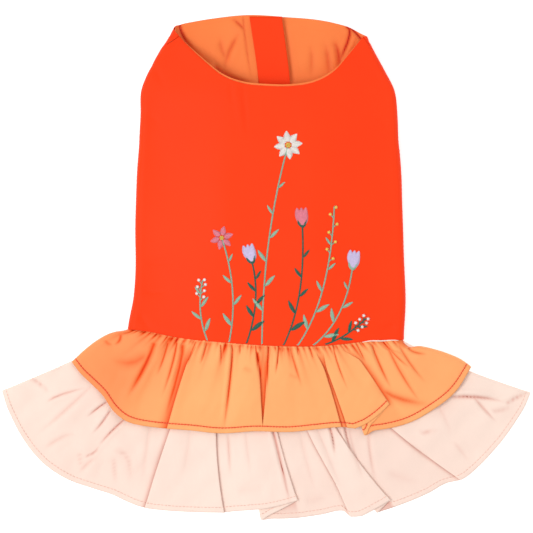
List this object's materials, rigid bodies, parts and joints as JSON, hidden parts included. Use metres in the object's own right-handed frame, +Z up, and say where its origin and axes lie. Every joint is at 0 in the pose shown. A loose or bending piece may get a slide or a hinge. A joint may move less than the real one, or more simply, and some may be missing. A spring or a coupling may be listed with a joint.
{
  "type": "dog dress",
  "caption": "Sleeveless dog dress lying flat, back up: red-orange lined bodice with a scooped neck, and an orange ruffle over a longer pale pink ruffle.",
  "frame": {"origin": "centre of the bounding box in plan, on the floor that the dress lies on", "axes": "+X to the viewer's right across the back, +Y towards the neck, +Z up from the floor, out of the back of the dress"},
  "size_m": [0.423, 0.4026, 0.0244],
  "materials": {
    "red_satin": "smooth red-orange satin weave with a soft sheen",
    "peach_lining": "smooth peach satin lining",
    "orange_satin": "soft orange satin weave",
    "pink_cotton": "matt pale pink cotton",
    "tape": "hook-and-loop tape"
  },
  "bodies": {
    "root": {"back_panel": "red_satin", "back_lining": "peach_lining", "chest_panel_left": "red_satin", "chest_panel_right": "red_satin", "chest_lining_left": "peach_lining", "chest_lining_right": "peach_lining", "placket_strip": "red_satin", "closure_tape": "tape", "upper_ruffle": "orange_satin", "lower_ruffle": "pink_cotton"}
  },
  "joints": []
}
